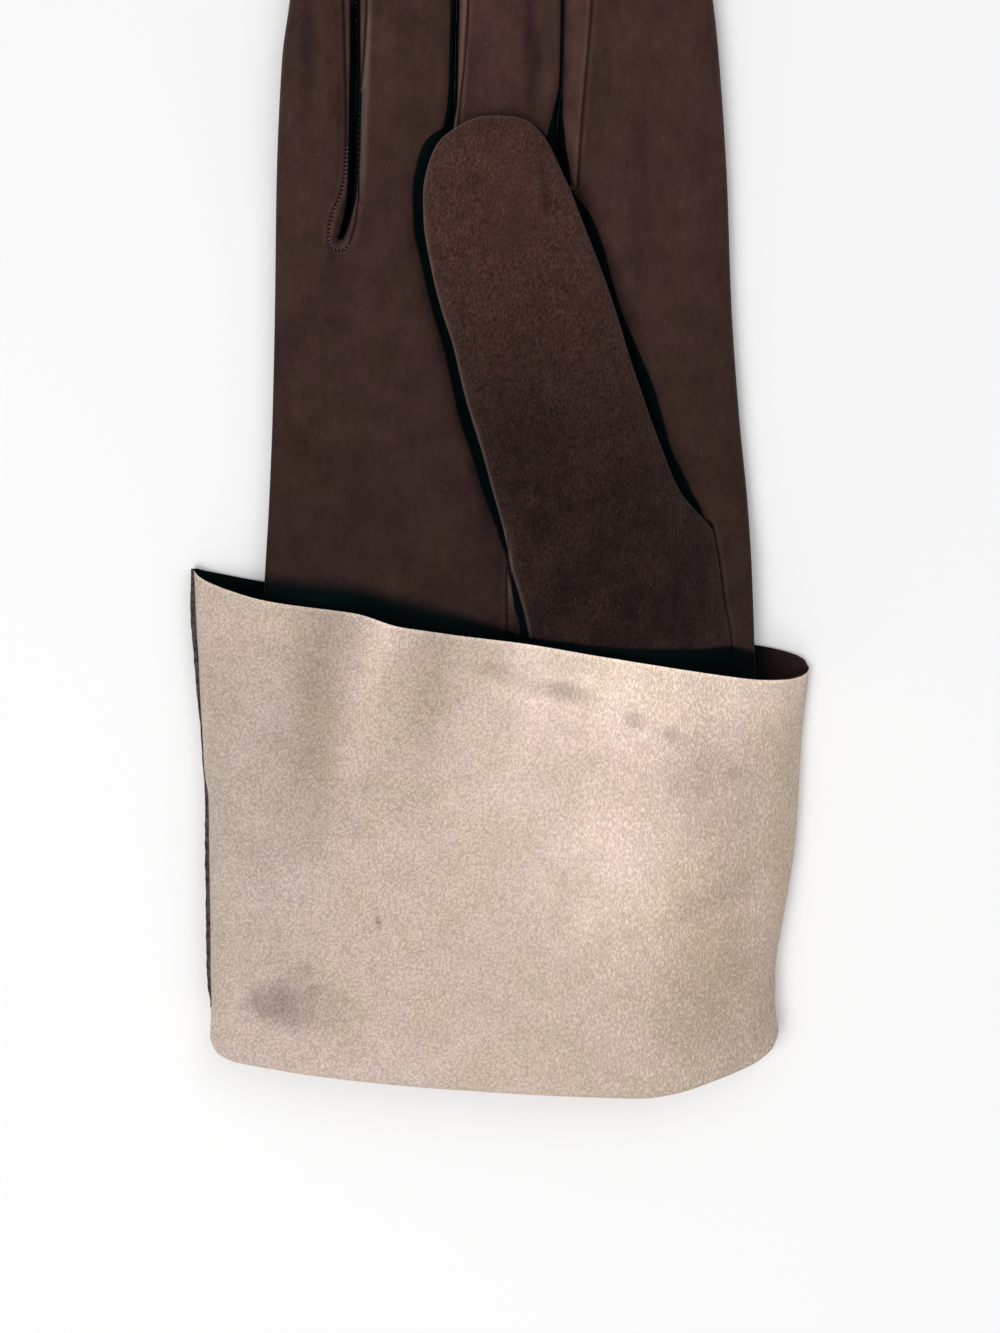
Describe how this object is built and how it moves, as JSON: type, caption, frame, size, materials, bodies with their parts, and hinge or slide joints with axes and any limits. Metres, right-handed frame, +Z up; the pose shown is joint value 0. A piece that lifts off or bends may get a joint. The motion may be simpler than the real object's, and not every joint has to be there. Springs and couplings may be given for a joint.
{
  "type": "suede glove",
  "caption": "Right-hand suede glove lying palm up, with the thumb folded over the palm and a long cuff turned back to show its cream inner side.",
  "frame": {"origin": "on the surface that the glove lies on, under the middle of its outline", "axes": "+Y from the turned cuff to the fingertips, +Z up out of the palm, +X to the forefinger's side"},
  "size_m": [0.1216, 0.2583, 0.02],
  "materials": {
    "suede": "dark brown suede, short smooth nap, matte",
    "napped_suede": "dark brown suede with a coarser raised nap, matte",
    "strip_suede": "brown suede strip, short nap, matte",
    "cream_leather": "cream inner side of the leather, fine pebbled grain, low sheen, worn and lightly stained",
    "seam_suede": "dark brown sewn leather edge, matte"
  },
  "bodies": {
    "root": {"hand": "suede", "thumb": "napped_suede", "fourchette_little_ring": "strip_suede", "fourchette_ring_middle": "strip_suede", "fourchette_middle_index": "strip_suede", "turned_cuff": "cream_leather", "cuff_side_seam": "seam_suede"}
  },
  "joints": []
}
